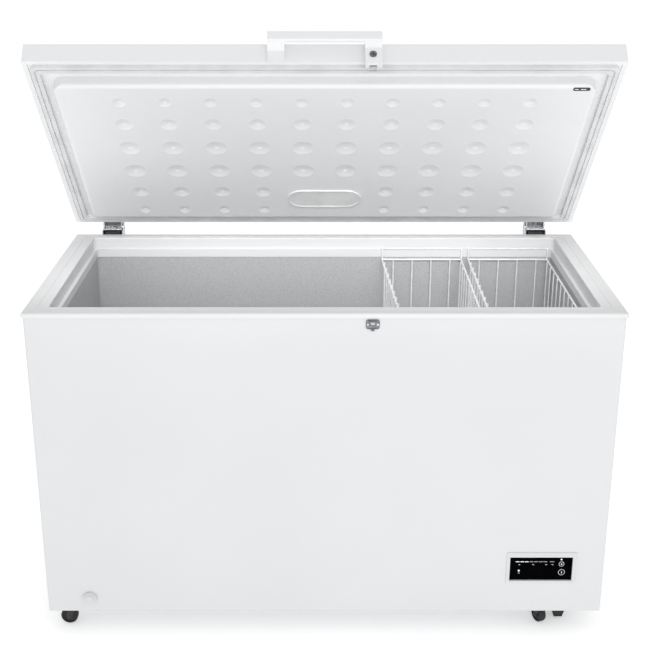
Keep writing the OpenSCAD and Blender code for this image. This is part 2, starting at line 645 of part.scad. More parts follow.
module lid_shell() lid(white) {
  difference() {
    slab(-half_w, half_w, lid_y0, lid_y1, lid_z0, lid_z1, corner_r, 5);
    slab(-half_w + lid_skin, half_w - lid_skin, lid_y0 + lid_skin, lid_y1 - lid_skin,
         lid_z0 - 1, lid_z1 - lid_skin, corner_r - lid_skin, 5 - lid_skin);
  }
  difference() {
    prism(-half_w + lid_skin, half_w - lid_skin, lid_y0 + lid_skin, lid_y1 - lid_skin,
          lid_z0, lid_z0 + lid_skin, corner_r - lid_skin);
    prism(-half_w + 11, half_w - 11, lid_y0 + 8, lid_y1 - 8, lid_z0 - 1, lid_z0 + 3, 4);
  }
}

module plinth(g, top) slab_down(-plinth_x - g, plinth_x + g, plinth_y0 - g, plinth_y1 + g, plinth_z - g, top, 24, 9);

// block with its lower edge rounded
module slab_down(x0, x1, y0, y1, z0, z1, r, rt) translate([0, 0, z0 + z1]) mirror([0, 0, 1])
  slab(x0, x1, y0, y1, z0, z1, r, rt);

// every dimple's place: x, y and radius; the lamp takes the room of four
function dimples() = [for (row = dimple_rows, i = [-4.5:1:4.5])
  if (row[0] > 200 || abs(i) > 1) [i * dimple_pitch, lid_y1 - row[0], row[1]]];

// shallow round dish pressed up into the plinth's face; g is its wall, 0 for the hollow
module dish(r, g) {
  ball = (r * r + dimple_deep * dimple_deep) / (2 * dimple_deep);
  below = g > 0 ? 0 : 1;
  translate([0, 0, dimple_deep - ball]) intersection() {
    sphere(ball + g);
    translate([0, 0, ball - dimple_deep - below]) cylinder(h = dimple_deep + below + 2, r = r + g);
  }
}

module dishes(g) for (d = dimples()) translate([d[0], d[1], plinth_z]) dish(d[2], g);

module lid_inner_panel() lid(white) difference() {
  union() {
    difference() {
      union() {
        prism(-half_w + 11.4, half_w - 11.4, lid_y0 + 8.4, lid_y1 - 8.4, panel_z, panel_z + panel_t, 3.6);
        plinth(0, panel_z + panel_t);
      }
      plinth(-panel_t, panel_z + panel_t + 1);
    }
    dishes(1.5);
  }
  dishes(0);
  lamp_plan(-6, plinth_z - 1, plinth_z + panel_t + 1);
}

module lid_foam() lid("#e8d9a0") difference() {
  prism(-half_w + 2, half_w - 2, lid_y0 + 2, lid_y1 - 2, panel_z + panel_t + 0.4, lid_z1 - 6, 4);
  prism(-half_w + 5, half_w - 5, lid_y0 + 5, lid_y1 - 5, lid_z1 - 7, lid_z1 + 1, 4);
}

module lamp_plan(g, z0, z1) prism(-lamp[2] - g, lamp[2] + g, lamp[1] - lamp[3] - g, lamp[1] + lamp[3] + g,
  z0, z1, lamp[3] + g - e);

module lamp_lens() lid("#f7f7f2") {
  difference() {
    lamp_plan(0, plinth_z - 3.2, plinth_z);
    lamp_plan(-5, plinth_z - 4, plinth_z - 1.8);
  }
}

module lamp_board() lid("#1f6b3a") {
  lamp_plan(-10, plinth_z + 4, plinth_z + 5.6);
  for (x = [-60:24:60]) box(x - 2.5, x + 2.5, lamp[1] - 2.5, lamp[1] + 2.5, plinth_z + 2.4, plinth_z + 4);
}

module label_plate() lid(dark) prism(528, 564, lid_y1 - 594, lid_y1 - 584, plinth_z - 0.6, plinth_z, 3);

module lid_gasket() lid("#9b9da0") {
  difference() {
    prism(-half_w + 16, half_w - 16, lid_y0 + 12, lid_y1 - 13, rim_z + 0.6, panel_z, 10);
    prism(-half_w + 34, half_w - 34, lid_y0 + 31, lid_y1 - 31, rim_z, panel_z + 1, 10);
    difference() {
      prism(-half_w + 23, half_w - 23, lid_y0 + 19, lid_y1 - 20, rim_z, rim_z + 3.2, 10);
      prism(-half_w + 26, half_w - 26, lid_y0 + 22, lid_y1 - 23, rim_z - 1, rim_z + 4, 10);
    }
  }
}

// ---- handle, lock and latch

// profile of a leg: y runs out from the skirt, z up from the lid's lower edge
module leg(x0, x1, pts) translate([0, lid_y0, lid_z0]) side_plate(x0, x1)
  polygon([for (p = pts) [-p[0], p[1]]]);

module lid_handle() lid(white) {
  top = lid_t + 5;
  difference() {
    union() {
      translate([0, lid_y0, lid_z0]) rotate([0, 0, 180]) rotate([90, 0, 90]) translate([0, 0, -bar_half])
        linear_extrude(2 * bar_half) rrect(bar_out - 12, bar_out, top - 24, top, 4);
      leg(-bar_half, -bar_half + leg_w, [[0.05, -2], [8, -2], [8, 21], [bar_out - 4, 28.4], [bar_out - 4, top - 1],
        [0.05, top - 1]]);
      leg(bar_half - leg_w, bar_half, [[0.05, 0], [2.5, 0], [2.5, block_low], [block_out, block_low],
        [block_out, 21], [bar_out - 4, 28.4], [bar_out - 4, top - 1], [0.05, top - 1]]);
    }
    box(lock_x - 8, lock_x + 8, lid_y0 - 12, lid_y0 - 4.5, lid_z0 + block_low - 1, lid_z0 + 14);
    box(lock_x - 8, lock_x + 8, lid_y0 - 5, lid_y0, lid_z0 + block_low - 1, lid_z0 - 0.5);
    rod_y(lock_x, lid_y0 - block_out - 1, lid_y0 - 11, lid_z0 + lock_n, barrel_r + 0.06);
    rod_x(lock_x - 12, lock_x + 12, lid_y0 - hook_out, lid_z0 + 8, 1.5);
  }
}

module latch_pin() lid(steel) rod_x(lock_x - 12, lock_x + 12, lid_y0 - hook_out, lid_z0 + 8, 1.45);

module lock_cylinder() lid("#3a3c40") difference() {
  union() {
    rod_y(lock_x, lid_y0 - block_out - 2, lid_y0 - block_out - 0.3, lid_z0 + lock_n, 7.6);
    rod_y(lock_x, lid_y0 - block_out - 1, lid_y0 - 11.6, lid_z0 + lock_n, barrel_r);
  }
  box(lock_x - 1, lock_x + 1, lid_y0 - block_out - 3, lid_y0 - block_out + 3, lid_z0 + lock_n - 4, lid_z0 + lock_n + 4);
}

module latch_hook() lid("#3a3c40") translate([lock_x - 7, lid_y0 - hook_out, lid_z0 + 8]) difference() {
  side_plate(0, 14) {
    circle(3);
    translate([-1, -37]) square([2, 37]);
    translate([-1, -37]) square([4.6, 2]);
  }
  rod_x(-1, 15, 0, 0, 1.5);
}

// ---- baskets

rail_r = 2.5;
wire_r = 1.8;
hook_r = 2.2;
basket_y = [mouth[1] + ledge_w + 4.2, mouth[2] - ledge_w - 4.2];
rail_z = frame_low - 6;
hook_z = ledge_z + hook_r + 0.4;
post_bend = 4;                              // radius of a post's bend over the ledge
post_reach = post_bend + hook_r + weld;     // from a post's axis to the hook's
wire_in = rail_r + wire_r + weld;           // from a rail's axis to the wires inside it

// corner post of a basket, bent over towards the ledge: s = -1 at the front, 1 at the back
module post(c, s) {
  rod_z(c[0], c[1], rail_z - hook_r, hook_z - post_bend - weld, hook_r);
  translate([c[0], c[1] + s * post_bend, hook_z - post_bend]) rotate([90, 0, 90])
    rotate(s > 0 ? 90 : 0) bend(post_bend, hook_r);
}

// wire basket hung on the frame's ledges; lean moves its front left corner to the right
module basket(x0, x1, lean) cab(white) {
  y0 = basket_y[0];
  y1 = basket_y[1];
  corners = [[x0 + lean, y0], [x1, y0], [x1, y1], [x0, y1]];
  for (i = [0:3]) {
    rod_flat(corners[i], corners[(i + 1) % 4], rail_z, rail_r, hook_r + weld);
    post(corners[i], i < 2 ? -1 : 1);
  }
  rod_x(x0 + lean - hook_r, x1 + hook_r, y0 - post_reach, hook_z, hook_r);
  rod_x(x0 - hook_r, x1 + hook_r, y1 + post_reach, hook_z, hook_r);
  n_cross = floor((y1 - y0 - 30) / wire_pitch);
  for (i = [0:n_cross]) cross_wire(x0, x1, (y0 + y1) / 2 + (i - n_cross / 2) * wire_pitch, lean);
  n_long = floor((x1 - x0 - 20) / wire_pitch);
  for (i = [0:n_long]) long_wire(x0, x1, (x0 + x1) / 2 + (i - n_long / 2) * wire_pitch, lean);
}

module cross_wire(x0, x1, y, lean) {
  xa = x0 + lean * (basket_y[1] - y) / (basket_y[1] - basket_y[0]) + wire_in;
  xb = x1 - wire_in;
  translate([(xa + xb) / 2, y, rail_z + 1]) u_wire(xb - xa, basket_h, 8, wire_r);
}

module long_wire(x0, x1, x, lean) {
  run = [-lean * (x1 - x) / (x1 - x0), basket_y[1] - basket_y[0] - 2 * wire_in];
  translate([x - run[0] / 2, (basket_y[0] + basket_y[1]) / 2, rail_z + 1]) rotate(atan2(run[1], run[0]))
    u_wire(norm(run), basket_h - 2 * wire_r - weld, 8, wire_r);
}

module basket_left() basket(348.5 - basket_w, 348.5, 24);
module basket_right() basket(567.5 - basket_w, 567.5, 0);

// ---- feet and casters

module support_foot() cab(dark) translate([0, 92, 0]) rotate([90, 0, 0]) linear_extrude(40)
  polygon([[535, floor_gap], [535, 12], [537, 6], [556, 6], [562, 26], [563, floor_gap]]);

king_r = 4;

module caster_plates() cab(steel) for (c = casters) translate([c[0], c[1], 0]) {
  prism(-19, 19, -19, 19, floor_gap - 2, floor_gap, 4);
  cylinder_from(fork_top + 0.3, floor_gap - 2, 14);
  cylinder_from(fork_top - 5, fork_top + 1, king_r);
  cylinder_from(fork_top - 5.4, fork_top - 3.9, 7);
}

module cylinder_from(z0, z1, r) translate([0, 0, z0]) cylinder(h = z1 - z0, r = r);

axle_r = 3;

module caster_fork(c) cab(dark) translate([c[0], c[1], 0]) rotate(c[2]) {
  difference() {
    union() {
      cylinder_from(fork_top - 3.5, fork_top, 15);
      for (s = [-1, 1]) translate([0, s * 10.5 + 1, 0]) rotate([90, 0, 0]) linear_extrude(2) {
        polygon([[-11, fork_top], [11, fork_top], [trail + 6, wheel_r], [trail - 6, wheel_r]]);
        translate([trail, wheel_r]) circle(6);
      }
    }
    cylinder_from(fork_top - 8, fork_top + 1, king_r + 0.06);
  }
  rod_y(trail, -12.5, 12.5, wheel_r, axle_r);
}

module caster_wheel(c) cab("#17181a") translate([c[0], c[1], 0]) rotate(c[2])
  translate([trail, 0, wheel_r]) rotate([90, 0, 0]) rotate_extrude() difference() {
    translate([axle_r + 0.06, -8.2]) rrect_half(wheel_r - axle_r - 0.06, 16.4, 3);
    for (y = [-9.2, 5.7]) translate([axle_r + 4, y]) square([wheel_r - axle_r - 8.5, 3.5]);
  }

// half section of a wheel: square at the bore, rounded at the tread
module rrect_half(w, h, r) {
  square([w - r, h]);
  translate([0, r]) square([w, h - 2 * r]);
  for (y = [r, h - r]) translate([w - r, y]) circle(r);
}

module caster_fork_fl() caster_fork(casters[0]);
module caster_fork_fr() caster_fork(casters[1]);
module caster_fork_bl() caster_fork(casters[2]);
module caster_fork_br() caster_fork(casters[3]);
module caster_wheel_fl() caster_wheel(casters[0]);
module caster_wheel_fr() caster_wheel(casters[1]);
module caster_wheel_bl() caster_wheel(casters[2]);
module caster_wheel_br() caster_wheel(casters[3]);

outer_wrapper();
back_panel();
base_plate();
insulation_foam();
inner_liner();
top_frame();
evaporator_coil();
condenser_coil();
compartment_plate();
compressor_tray();
compressor();
compressor_mounts();
terminal_box();
filter_drier();
refrigerant_tubes();
vent_grille();
rear_cover();
cover_screws();
cord_gland();
control_bezel();
control_glass();
control_board();
indicator_lights();
button_mode();
button_set();
strike_plate();
strike_screws();
drain_tube();
drain_cap();
drain_plug();
hinge_bases();
hinge_base_screws();
hinge_springs();
hinge_slider_left();
hinge_slider_right();
lid_shell();
lid_foam();
lid_inner_panel();
lid_gasket();
lamp_lens();
lamp_board();
label_plate();
lid_handle();
hinge_leaves();
hinge_leaf_screws();
lock_cylinder();
latch_hook();
latch_pin();
basket_left();
basket_right();
support_foot();
caster_plates();
caster_fork_fl();
caster_wheel_fl();
caster_fork_fr();
caster_wheel_fr();
caster_fork_bl();
caster_wheel_bl();
caster_fork_br();
caster_wheel_br();
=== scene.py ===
"""Looks of the chest freezer: a finish for every CAD node, small printed marks, floor, light, camera."""
import json
import math

import bmesh
import bpy
from mathutils import Matrix, Vector


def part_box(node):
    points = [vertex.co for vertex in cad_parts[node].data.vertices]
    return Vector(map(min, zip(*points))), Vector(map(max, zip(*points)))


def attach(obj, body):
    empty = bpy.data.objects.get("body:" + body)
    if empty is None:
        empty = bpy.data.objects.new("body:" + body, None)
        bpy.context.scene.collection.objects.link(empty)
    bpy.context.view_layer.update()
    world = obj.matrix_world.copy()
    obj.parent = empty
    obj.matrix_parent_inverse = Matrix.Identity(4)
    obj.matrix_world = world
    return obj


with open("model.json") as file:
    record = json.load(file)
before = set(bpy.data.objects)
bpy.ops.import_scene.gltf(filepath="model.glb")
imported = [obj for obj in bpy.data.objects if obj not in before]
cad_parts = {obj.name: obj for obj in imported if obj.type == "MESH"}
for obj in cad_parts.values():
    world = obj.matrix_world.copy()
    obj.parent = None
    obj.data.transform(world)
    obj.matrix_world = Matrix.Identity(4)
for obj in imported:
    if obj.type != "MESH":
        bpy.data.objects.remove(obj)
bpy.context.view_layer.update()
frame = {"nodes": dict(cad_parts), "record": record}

# ---- the camera stands this far from the middle of the rim's front edge, in metres

CAMERA_SIDE = -0.0076
CAMERA_BACK = 2.4476
CAMERA_UP = 0.8152
CAMERA_PITCH = math.radians(21.12)
CAMERA_LENS = 68.58
CAMERA_SHIFT = (0.006, 0.0723)

# ---- studio, in metres, watts and degrees: a broad box in front and a narrow-beamed one that
# ---- reaches into the open cabinet over its front wall

WORLD_STRENGTH = 0.80
FRONT_BOX = {"position": (0.5, -3.8, 1.3), "target": (0, 0, 0.9), "width": 2.6, "height": 1.6,
             "power": 34, "cone": 180}
CAVITY_BOX = {"position": (0, -0.62, 1.25), "target": (0, 0.27, 0.62), "width": 1.25, "height": 0.15,
              "power": 1.5, "cone": 50}
FLOOR_HALF = 60.0
FLOOR_GLOW = 0.36

# ---- colours, linear

ENAMEL = (0.665, 0.675, 0.685)
# The lid's enamel is the body's white paint set lighter: painted light on the lid, which the lamps reach
# less than the front.
LID_ENAMEL_PAINTED_LIGHTER = (0.80, 0.81, 0.82)
MOULDED_WHITE = (0.80, 0.805, 0.81)
# The rim frame's white is the moulded white set darker: painted shade on the rim's top, which the lamps
# reach less.
FRAME_WHITE_PAINTED_SHADE = (0.72, 0.725, 0.73)
# The bezel and drain parts' white is the moulded white set darker: painted shade on front parts that the
# front lamp lights hard.
TRIM_WHITE_PAINTED_SHADE = (0.64, 0.645, 0.65)
LINER_GREY = (0.57, 0.575, 0.585)
ZINC = (0.52, 0.54, 0.56)
INK_WHITE = (0.85, 0.88, 0.92)

# ---- marks printed on the control glass and the label, in metres: plain bars, dots and rings

LIGHT_STEP = 0.0104
LIGHT_HALF = 0.0042
PRINT_PLACES = (0.4, 3.4, 6.3, 7.6)          # counted in lights from the left end of the row
PRINT_UP = 0.0176
PRINT_DOWN = 0.0038
PRINT_WIDE = 0.0046
PRINT_TALL = 0.0008
INK_THICK = 0.00012
KEY_RING = (0.0006, 0.0014)                  # gaps from a key's edge to its printed ring's edges
RING_STEPS = 28
KEY_DOT = (0.7, 0.7)                         # width and height of a mark, as shares of its key's radius
KEY_STROKE = (0.24, 0.9)
LABEL_BARS = ((-0.30, 0.22), (0.10, 0.34))   # middle and width of each, as shares of the label's width
LABEL_BAR_TALL = 0.0024
LABEL_INK_THICK = 0.0001

# ---- the lit lights: those left of the first place and right of the second, in metres

LIT_UNTIL = 0.462
LIT_DOT = 0.530


# ---- node helpers

def fresh(name, **constants):
    """A new material whose constant values sit on the Principled shader's own sockets."""
    material = bpy.data.materials.new(name)
    material.use_nodes = True
    shader = material.node_tree.nodes["Principled BSDF"]
    for socket, value in constants.items():
        shader.inputs[socket.replace("_", " ")].default_value = value
    return material


def shader_of(material):
    return material.node_tree.nodes["Principled BSDF"]


def put(material, kind, inputs=None, **settings):
    """Adds a node; each input is a value, or a socket that is linked to it."""
    made = material.node_tree.nodes.new("ShaderNode" + kind)
    for key, value in settings.items():
        setattr(made, key, value)
    for key, value in (inputs or {}).items():
        socket = made.inputs[key]
        if isinstance(value, bpy.types.NodeSocket):
            material.node_tree.links.new(value, socket)
        else:
            socket.default_value = value
    return made


def place(material, stretch=(1, 1, 1)):
    """Object coordinates in metres, squeezed along an axis where stretch is below 1."""
    coords = put(material, "TexCoord").outputs["Object"]
    if stretch == (1, 1, 1):
        return coords
    return put(material, "Mapping", {"Vector": coords, "Scale": stretch}).outputs["Vector"]


def noise(material, scale, detail=2.0, roughness=0.5, stretch=(1, 1, 1)):
    return put(material, "TexNoise", {"Vector": place(material, stretch), "Scale": scale,
                                      "Detail": detail, "Roughness": roughness}).outputs["Fac"]


def spread(material, value, low, high, start=0.35, end=0.65):
    """Maps a pattern's middle range onto low..high."""
    return put(material, "MapRange", {"Value": value, "From Min": start, "From Max": end,
                                      "To Min": low, "To Max": high}).outputs["Result"]


def tint(material, pattern, dark, light, start=0.35, end=0.65):
    """Base colour between dark and light, as the pattern runs from start to end."""
    ramp = put(material, "ValToRGB", {"Fac": pattern})
    ramp.color_ramp.elements[0].position = start
    ramp.color_ramp.elements[0].color = (*dark, 1)
    ramp.color_ramp.elements[1].position = end
    ramp.color_ramp.elements[1].color = (*light, 1)
    material.node_tree.links.new(ramp.outputs["Color"], shader_of(material).inputs["Base Color"])


def gloss(material, pattern, low, high):
    """Roughness between low and high."""
    material.node_tree.links.new(spread(material, pattern, low, high),
                                 shader_of(material).inputs["Roughness"])


def relief(material, *layers):
    """Bump from one or more (pattern, strength, depth in metres) layers."""
    normal = None
    for height, strength, depth in layers:
        inputs = {"Height": height, "Strength": strength, "Distance": depth}
        if normal is not None:
            inputs["Normal"] = normal
        normal = put(material, "Bump", inputs).outputs["Normal"]
    material.node_tree.links.new(normal, shader_of(material).inputs["Normal"])


def shade(colour, factor):
    return tuple(min(1.0, c * factor) for c in colour)


# ---- finishes, one per material slot of the record

def enamel(name, body):
    """Stove enamel on sheet steel: faint orange peel, slow waviness of the sheet, a little dust."""
    m = fresh(name, Specular_IOR_Level=0.5, Coat_Weight=0.25, Coat_Roughness=0.12)
    tint(m, noise(m, 2.6, 3.0), shade(body, 0.985), shade(body, 1.01))
    gloss(m, noise(m, 7.0, 4.0), 0.30, 0.40)
    relief(m, (noise(m, 420.0, 1.0), 0.10, 0.0004), (noise(m, 5.0, 1.0), 0.12, 0.004))
    return m


def moulded_white(name, body):
    """Satin ABS: fine spark-eroded grain and slight flow marks."""
    m = fresh(name, Specular_IOR_Level=0.45, Subsurface_Weight=0.04,
              Subsurface_Radius=(0.004, 0.004, 0.004))
    tint(m, noise(m, 4.0, 3.0, stretch=(0.6, 1, 1)), shade(body, 0.985), shade(body, 1.01))
    gloss(m, noise(m, 18.0, 4.0), 0.36, 0.46)
    relief(m, (noise(m, 1500.0, 2.0), 0.12, 0.0002), (noise(m, 9.0, 1.0), 0.06, 0.002))
    return m


def galvanised():
    """Hot-dip galvanised sheet: zinc crystals, each of its own grey and gloss."""
    m = fresh("galvanised_sheet", Metallic=0.9)
    cells = put(m, "TexVoronoi", {"Vector": place(m), "Scale": 140.0})
    grey = put(m, "SeparateColor", {"Color": cells.outputs["Color"]})
    tint(m, grey.outputs["Red"], (0.50, 0.515, 0.53), (0.60, 0.615, 0.63), 0.0, 1.0)
    m.node_tree.links.new(spread(m, grey.outputs["Green"], 0.34, 0.52, 0.0, 1.0),
                          shader_of(m).inputs["Roughness"])
    relief(m, (cells.outputs["Distance"], 0.06, 0.0006), (noise(m, 6.0, 2.0), 0.1, 0.004))
    return m


def stucco():
    """Stucco-embossed aluminium sheet: fine raised pebbles over a satin metal, with painted shade
    darkening the folds between them.
    """
    m = fresh("stucco_aluminium", Metallic=0.35, Specular_IOR_Level=0.5)
    pebbles = put(m, "TexVoronoi", {"Vector": place(m), "Scale": 420.0, "Smoothness": 0.6},
                  feature="SMOOTH_F1")
    veins = noise(m, 520.0, 2.0, 0.6)
    # Painted shade: the colour runs from the pebble tops down to a darker grey in the folds between them.
    tint(m, pebbles.outputs["Distance"], shade(LINER_GREY, 1.06), shade(LINER_GREY, 0.82), 0.1, 0.75)
    gloss(m, veins, 0.38, 0.55)
    relief(m, (pebbles.outputs["Distance"], 0.45, -0.0006), (veins, 0.35, 0.0005),
           (noise(m, 7.0, 2.0), 0.12, 0.003))
    return m


def foam():
    """Cut polyurethane foam: open cells on a pale yellow body, with painted shade darkening the cell
    hollows.
    """
    m = fresh("rigid_foam", Roughness=0.9)
    cells = put(m, "TexVoronoi", {"Vector": place(m), "Scale": 700.0})
    # Painted shade: the cell hollows are coloured darker than the cell walls.
    tint(m, cells.outputs["Distance"], (0.55, 0.46, 0.26), (0.80, 0.72, 0.48), 0.1, 0.6)
    relief(m, (cells.outputs["Distance"], 0.6, 0.0005))
    return m


def copper():
    """Drawn copper tube with uneven heat tint."""
    m = fresh("drawn_copper", Metallic=1.0)
    tint(m, noise(m, 30.0, 4.0), (0.36, 0.17, 0.10), (0.72, 0.37, 0.24))
    gloss(m, noise(m, 120.0, 3.0), 0.22, 0.42)
    relief(m, (noise(m, 700.0, 2.0), 0.08, 0.0002))
    return m


def black_paint():
    """Semi-gloss black paint on cast and drawn steel."""
    m = fresh("black_paint", Specular_IOR_Level=0.5, Coat_Weight=0.15, Coat_Roughness=0.25)
    tint(m, noise(m, 14.0, 4.0), (0.016, 0.016, 0.018), (0.032, 0.032, 0.035))
    gloss(m, noise(m, 40.0, 4.0), 0.32, 0.5)
    relief(m, (noise(m, 380.0, 2.0), 0.2, 0.0004))
    return m


def black_plastic():
    """Moulded black plastic with a fine leather-like grain."""
    m = fresh("black_plastic", Specular_IOR_Level=0.4)
    tint(m, noise(m, 22.0, 4.0), (0.020, 0.020, 0.022), (0.038, 0.038, 0.041))
    gloss(m, noise(m, 60.0, 3.0), 0.42, 0.58)
    relief(m, (noise(m, 900.0, 3.0, 0.6), 0.3, 0.0003))
    return m


def black_rubber():
    """Matt rubber: dusty, with a rough skin."""
    m = fresh("black_rubber", Specular_IOR_Level=0.3)
    tint(m, noise(m, 45.0, 6.0, 0.65), (0.014, 0.014, 0.014), (0.045, 0.044, 0.043), 0.3, 0.75)
    gloss(m, noise(m, 80.0, 4.0), 0.62, 0.82)
    relief(m, (noise(m, 600.0, 4.0, 0.6), 0.35, 0.0004))
    return m


def black_glass():
    """Polished black panel with a trace of fingerprints in its gloss."""
    m = fresh("black_glass", Specular_IOR_Level=0.0)
    tint(m, noise(m, 60.0, 3.0), (0.0012, 0.0012, 0.0015), (0.0022, 0.0022, 0.0026))
    gloss(m, noise(m, 70.0, 5.0, 0.6), 0.05, 0.14)
    relief(m, (noise(m, 30.0, 1.0), 0.03, 0.0004))
    return m


def lights():
    """Frosted light windows: the first three of the row and the small round one are lit, the rest dim."""
    m = fresh("light_windows", Base_Color=(0.30, 0.32, 0.35, 1), Roughness=0.4, Emission_Strength=0.9)
    split = put(m, "SeparateXYZ", {"Vector": place(m)})
    lit_row = put(m, "Math", {0: split.outputs["X"], 1: LIT_UNTIL}, operation="LESS_THAN").outputs[0]
    lit_dot = put(m, "Math", {0: split.outputs["X"], 1: LIT_DOT}, operation="GREATER_THAN").outputs[0]
    lit = put(m, "Math", {0: lit_row, 1: lit_dot}, operation="MAXIMUM").outputs[0]
    uneven = spread(m, noise(m, 160.0, 2.0), 0.75, 1.0)
    glow = put(m, "Math", {0: lit, 1: uneven}, operation="MULTIPLY").outputs[0]
    ramp = put(m, "ValToRGB", {"Fac": glow})
    ramp.color_ramp.elements[0].color = (0.05, 0.055, 0.06, 1)
    ramp.color_ramp.elements[1].color = (0.90, 0.95, 1.0, 1)
    m.node_tree.links.new(ramp.outputs["Color"], shader_of(m).inputs["Emission Color"])
    relief(m, (noise(m, 900.0, 1.0), 0.1, 0.0002))
    return m


def board():
    """Green solder mask over faint copper tracks."""
    m = fresh("solder_mask", Specular_IOR_Level=0.5)
    tracks = put(m, "TexBrick", {"Vector": place(m), "Scale": 160.0, "Mortar Size": 0.03})
    tint(m, tracks.outputs["Fac"], (0.02, 0.13, 0.05), (0.05, 0.24, 0.09), 0.0, 1.0)
    gloss(m, noise(m, 120.0, 2.0), 0.25, 0.4)
    relief(m, (tracks.outputs["Fac"], 0.2, 0.0001))
    return m


def dark_metal():
    """Dark nickel plate with short brushed scratches."""
    m = fresh("dark_nickel", Metallic=0.95)
    brushed = noise(m, 260.0, 4.0, 0.6, stretch=(0.12, 1, 1))
    tint(m, brushed, (0.10, 0.103, 0.11), (0.26, 0.265, 0.28))
    gloss(m, brushed, 0.22, 0.4)
    relief(m, (brushed, 0.12, 0.0002))
    return m


def zinc_steel():
    """Bright zinc plate: rolling lines, cloudy passivation."""
    m = fresh("zinc_plate", Metallic=0.95)
    tint(m, noise(m, 40.0, 5.0, 0.6), shade(ZINC, 0.72), shade(ZINC, 1.15))
    gloss(m, noise(m, 300.0, 3.0, stretch=(1, 1, 0.1)), 0.24, 0.42)
    relief(m, (noise(m, 500.0, 3.0, stretch=(1, 1, 0.15)), 0.1, 0.0002))
    return m


def bright_zinc():
    """Fresh clear-passivated zinc: pale and satin, with faint rolling lines."""
    m = fresh("bright_zinc", Metallic=0.55)
    lines = noise(m, 420.0, 3.0, stretch=(1, 1, 0.12))
    tint(m, lines, (0.56, 0.565, 0.57), (0.74, 0.745, 0.75))
    gloss(m, lines, 0.30, 0.46)
    relief(m, (lines, 0.1, 0.0002))
    return m


def spring_wire():
    """A close-wound spring sleeve: the turns stand out, and painted shade darkens the gaps between them.
    """
    m = fresh("wound_spring_wire", Metallic=0.9, Roughness=0.3)
    turns = put(m, "TexWave", {"Vector": place(m), "Scale": 70.0, "Distortion": 0.4, "Detail": 1.0},
                wave_type="BANDS", bands_direction="Z", wave_profile="SIN").outputs["Fac"]
    # Painted shade: the gaps between the turns are coloured near black, the turns zinc grey.
    tint(m, turns, (0.05, 0.05, 0.055), shade(ZINC, 1.0), 0.15, 0.6)
    relief(m, (turns, 0.9, 0.0012))
    return m


def gasket():
    """Soft PVC seal: matt grey, long extrusion lines, slight uneven grime."""
    m = fresh("soft_gasket", Specular_IOR_Level=0.35, Subsurface_Weight=0.05,
              Subsurface_Radius=(0.002, 0.002, 0.002))
    tint(m, noise(m, 16.0, 4.0), (0.66, 0.665, 0.67), (0.75, 0.755, 0.76))
    gloss(m, noise(m, 50.0, 3.0), 0.48, 0.62)
    relief(m, (noise(m, 500.0, 2.0, stretch=(0.05, 1, 1)), 0.15, 0.0003))
    return m


def opal():
    """Opal lamp cover: milky, satin, with moulded prisms."""
    m = fresh("opal_lens", Specular_IOR_Level=0.5, Subsurface_Weight=0.25,
              Subsurface_Radius=(0.006, 0.006, 0.006))
    tint(m, noise(m, 20.0, 3.0), (0.74, 0.745, 0.745), (0.82, 0.825, 0.825))
    gloss(m, noise(m, 90.0, 2.0), 0.28, 0.4)
    relief(m, (noise(m, 700.0, 1.0), 0.1, 0.0003))
    return m


def wire_coating():
    """Thick white dip coating on wire: glossy, with sags and thicker spots."""
    m = fresh("dipped_white", Specular_IOR_Level=0.5, Coat_Weight=0.4, Coat_Roughness=0.1)
    tint(m, noise(m, 50.0, 3.0), (0.74, 0.745, 0.75), (0.84, 0.845, 0.85))
    gloss(m, noise(m, 70.0, 3.0), 0.24, 0.36)
    relief(m, (noise(m, 260.0, 2.0), 0.25, 0.0006))
    return m


FINISHES = {
    "white_paint": enamel("enamel_white", ENAMEL),
    "white_plastic": moulded_white("moulded_white", MOULDED_WHITE), "galvanised": galvanised(),
    "liner_metal": stucco(), "foam": foam(), "copper": copper(), "black_paint": black_paint(),
    "black_plastic": black_plastic(), "black_rubber": black_rubber(), "black_glass": black_glass(),
    "lights": lights(), "board": board(), "dark_metal": dark_metal(), "zinc_steel": zinc_steel(),
    "grey_gasket": gasket(), "opal": opal(), "wire_white": wire_coating(),
}
BRIGHT = bright_zinc()
# A darker copy of the moulded white, painted shade for the bezel, drain cap and drain tube.
TRIM = moulded_white("moulded_trim_painted_shade", TRIM_WHITE_PAINTED_SHADE)
OWN_FINISH = {
    # The lid shell takes the lighter copy of the enamel: painted light.
    "hinge_springs": spring_wire(), "lid_shell": enamel("enamel_lid_painted_lighter", LID_ENAMEL_PAINTED_LIGHTER),
    # The top frame takes a darker copy of the moulded white: painted shade.
    "top_frame": moulded_white("moulded_frame_painted_shade", FRAME_WHITE_PAINTED_SHADE), "control_bezel": TRIM, "drain_cap": TRIM,
    "drain_tube": TRIM, "latch_hook": BRIGHT, "strike_screws": BRIGHT,
    "button_mode": FINISHES["black_glass"], "button_set": FINISHES["black_glass"],
}


def dress(node, material):
    """Gives a CAD node its finish."""
    slots = frame["nodes"][node].data.materials
    slots.clear()
    slots.append(material)


def dress_all():
    """Every CAD node gets its own finish, or the one its material slot names."""
    for part in frame["record"]["subparts"]:
        node = part["node"]
        dress(node, OWN_FINISH.get(node, FINISHES[part["material_slot"]]))


# ---- small pieces

def mesh_piece(name, shape, material, body):
    """Turns a bmesh into a shown piece that rides on a body."""
    mesh = bpy.data.meshes.new(name)
    bmesh.ops.recalc_face_normals(shape, faces=shape.faces)
    shape.to_mesh(mesh)
    shape.free()
    piece = bpy.data.objects.new(name, mesh)
    bpy.context.scene.collection.objects.link(piece)
    mesh.materials.append(material)
    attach(piece, body)
    return piece


